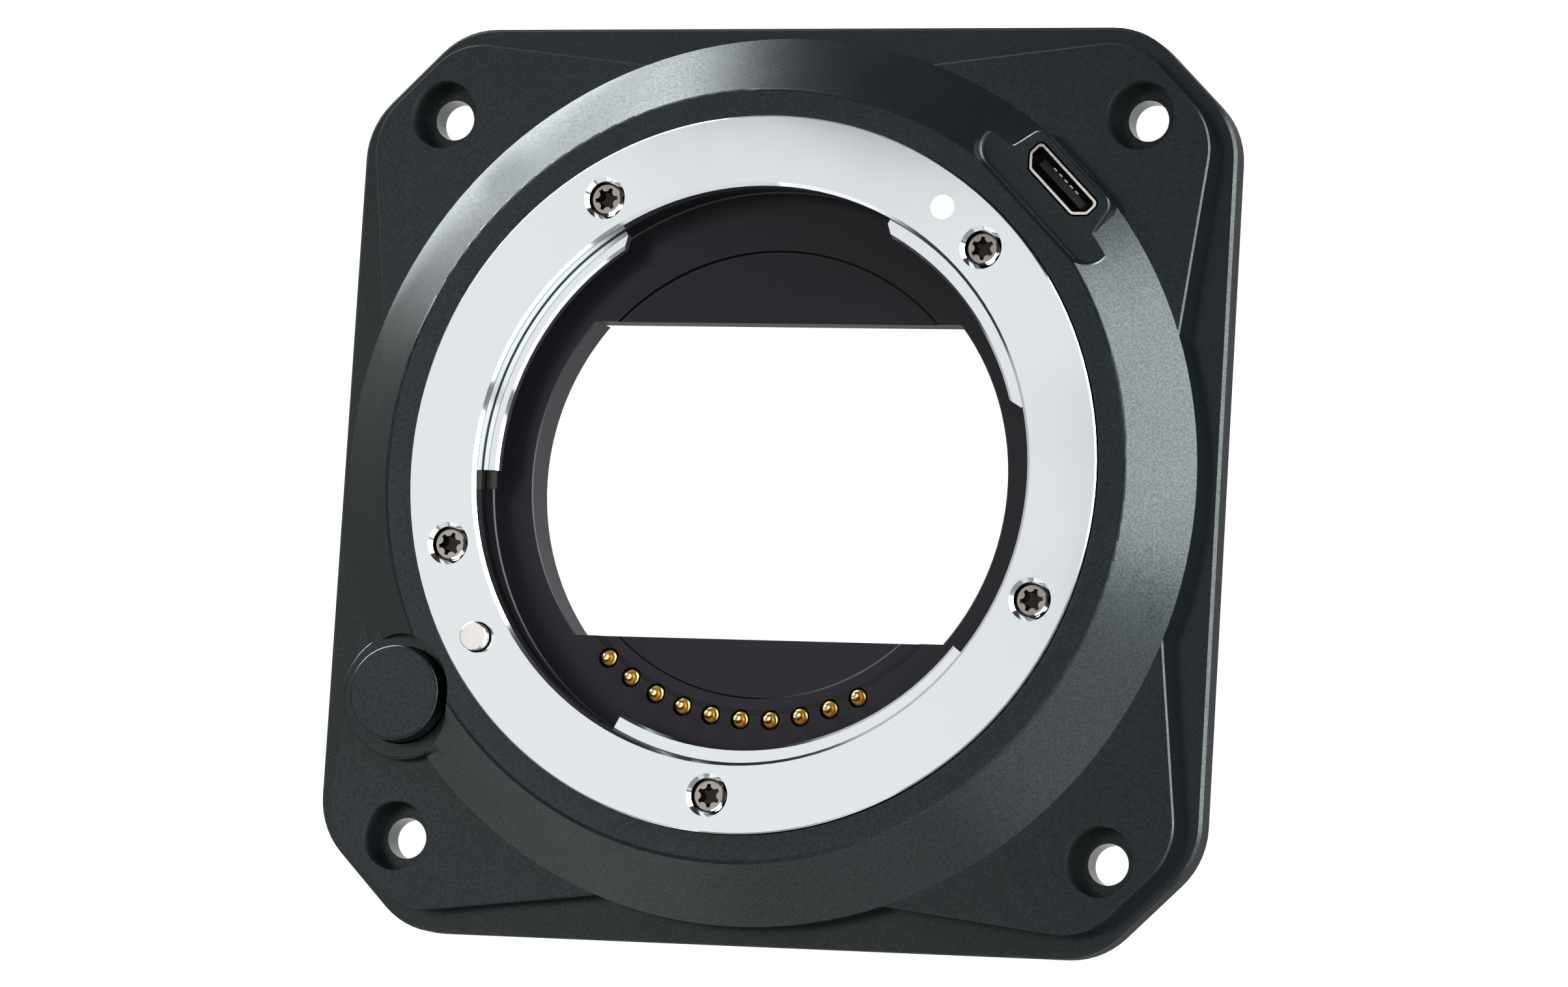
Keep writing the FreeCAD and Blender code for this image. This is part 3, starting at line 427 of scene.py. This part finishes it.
def own_finishes():
    """a material for each node that differs from the rest of its slot in the photograph"""
    own = {
        "bayonet_screws": screw_nickel(),
        "lifter_plate": plated_metal("black_oxide_steel", (0.035, 0.035, 0.037), 0.45, 0.05),
        "usb_tongue": moulded_plastic("tongue_plastic", (0.0025, 0.0025, 0.0028), 0.75),
    }
    # leaf springs: spring steel painted much darker, standing in for the dark reflections they show under the tabs
    shaded_leaf_steel = plated_metal("shaded_leaf_steel", (0.09, 0.087, 0.083), 0.32)
    silver_pads = plated_metal("silver_pads", (0.84, 0.82, 0.90), 0.25)
    pin_gold = plated_metal("pin_gold", (1.0, 0.78, 0.34), 0.28)
    own.update({f"leaf_spring_{number}": shaded_leaf_steel for number in range(1, 4)})
    own.update({f"usb_contact_{number}": silver_pads for number in range(1, 6)})
    own.update({f"contact_pin_{number:02d}": pin_gold for number in range(1, 11)})
    return own


def finish_nodes():
    by_slot = slot_finishes()
    own = own_finishes()
    for name, node in nodes.items():
        slot_name = node.data.materials[0].name.split(".")[0]
        node.material_slots[0].material = own.get(name, by_slot[slot_name])


# Springs, each a copy of its node's coil on the mount

def shortening_spring(name):
    """the node's own coil, copied as a piece on the mount in place of the hidden node"""
    spring = bpy.data.objects.new(name + "_coil", nodes[name].data.copy())
    bpy.context.scene.collection.objects.link(spring)
    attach(spring, "mount")
    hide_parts(name)
    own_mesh(spring)


# Camera, floor, world and lamps

def place_camera():
    data = bpy.data.cameras.new("camera")
    data.lens = LENS_MM
    data.sensor_width = SENSOR_MM
    data.clip_start = CLIP_START
    camera = bpy.data.objects.new("camera", data)
    camera.rotation_mode = "ZYX"
    camera.rotation_euler = Euler([math.radians(angle) for angle in CAMERA_TURN_DEG], "ZYX")
    camera.location = CAMERA_PLACE
    bpy.context.scene.collection.objects.link(camera)
    bpy.context.scene.camera = camera


def floor_material():
    """white floor that keeps a faint shadow. The camera sees it lifted to white, and so do polished walls through the
    corner holes; through the window they see it darker, as it is under the part"""
    material = bpy.data.materials.new("floor_white")
    material.use_nodes = True
    tree = material.node_tree
    tree.nodes.clear()

    def node(kind, *sources, operation=None, value=None):
        """one node, its first inputs linked to the sources, its next input set to a plain value"""
        made = tree.nodes.new(kind)
        if operation:
            made.operation = operation
        for socket, source in zip(made.inputs, sources):
            tree.links.new(source, socket)
        if value is not None:
            made.inputs[len(sources)].default_value = value
        return made

    def math_node(operation, *sources, value=None):
        return node("ShaderNodeMath", *sources, operation=operation, value=value).outputs["Value"]

    def vector_node(operation, *sources, value=None):
        return node("ShaderNodeVectorMath", *sources, operation=operation, value=value).outputs

    place = node("ShaderNodeTexCoord").outputs["Object"]
    seen = node("ShaderNodeLightPath").outputs

    from_axis = vector_node("LENGTH", place)["Value"]
    window = math_node("LESS_THAN", from_axis, value=WINDOW_RADIUS)
    window = math_node("MULTIPLY", window, value=WINDOW_SHARE)

    corner = vector_node("ABSOLUTE", place)["Vector"]
    from_hole = vector_node("SUBTRACT", corner, value=(HOLE_OFFSET, HOLE_OFFSET, 0.0))["Vector"]
    from_hole = vector_node("LENGTH", from_hole)["Value"]
    holes = math_node("LESS_THAN", from_hole, value=HOLE_REACH)
    holes = math_node("MULTIPLY", holes, value=HOLE_SHARE)

    mirrored = math_node("MULTIPLY", math_node("MAXIMUM", window, holes), seen["Is Glossy Ray"])
    lift = math_node("MULTIPLY", math_node("MAXIMUM", seen["Is Camera Ray"], mirrored), value=FLOOR_LIFT)

    diffuse = node("ShaderNodeBsdfDiffuse")
    diffuse.inputs["Color"].default_value = (FLOOR_GREY, FLOOR_GREY, FLOOR_GREY, 1)
    glow = node("ShaderNodeEmission")
    tree.links.new(lift, glow.inputs["Strength"])
    both = node("ShaderNodeAddShader", diffuse.outputs["BSDF"], glow.outputs["Emission"])
    node("ShaderNodeOutputMaterial", both.outputs["Shader"])
    return material


def lay_floor():
    half = FLOOR_SIDE / 2
    mesh = bpy.data.meshes.new("floor")
    corners = [(-half, -half, 0), (half, -half, 0), (half, half, 0), (-half, half, 0)]
    mesh.from_pydata(corners, [], [(0, 1, 2, 3)])
    mesh.materials.append(floor_material())
    floor = bpy.data.objects.new("floor", mesh)
    floor.location.z = FLOOR_HEIGHT
    bpy.context.scene.collection.objects.link(floor)


def set_world():
    """grey room, darker behind the part's top edge, and plain white where the camera looks past the floor"""
    world = bpy.data.worlds.new("studio")
    world.use_nodes = True
    tree = world.node_tree
    background = tree.nodes["Background"]
    background.inputs["Color"].default_value = (1, 1, 1, 1)
    heading = tree.nodes.new("ShaderNodeTexCoord")
    parts = tree.nodes.new("ShaderNodeSeparateXYZ")
    room = tree.nodes.new("ShaderNodeMapRange")
    room.inputs["From Min"].default_value = -1.0
    room.inputs["To Min"].default_value = WORLD_FRONT
    room.inputs["To Max"].default_value = WORLD_BACK
    seen = tree.nodes.new("ShaderNodeLightPath")
    level = tree.nodes.new("ShaderNodeMix")
    level.inputs["B"].default_value = 1.0
    tree.links.new(heading.outputs["Generated"], parts.inputs["Vector"])
    tree.links.new(parts.outputs["Y"], room.inputs["Value"])
    tree.links.new(seen.outputs["Is Camera Ray"], level.inputs["Factor"])
    tree.links.new(room.outputs["Result"], level.inputs["A"])
    tree.links.new(level.outputs["Result"], background.inputs["Strength"])
    bpy.context.scene.world = world


def softbox(name, azimuth, elevation, distance, width, height, radiance):
    """rectangular lamp aimed at the part's middle; its power follows from its area and radiance"""
    data = bpy.data.lights.new(name, "AREA")
    data.shape = "RECTANGLE"
    data.size = width
    data.size_y = height
    data.energy = radiance * math.pi * width * height
    lamp = bpy.data.objects.new(name, data)
    heading = math.radians(azimuth)
    rise = math.radians(elevation)
    away = Vector((math.cos(heading) * math.cos(rise), math.sin(heading) * math.cos(rise), math.sin(rise)))
    lamp.location = away * distance
    lamp.rotation_mode = "QUATERNION"
    lamp.rotation_quaternion = away.to_track_quat("Z", "Y")
    lamp.visible_camera = False
    bpy.context.scene.collection.objects.link(lamp)


finish_nodes()
for name, (joint, stroke) in SPRINGS.items():
    shortening_spring(name)
place_camera()
lay_floor()
set_world()
for name, settings in SOFTBOXES.items():
    softbox(name, *settings)
bpy.context.scene.view_settings.view_transform = "Standard"
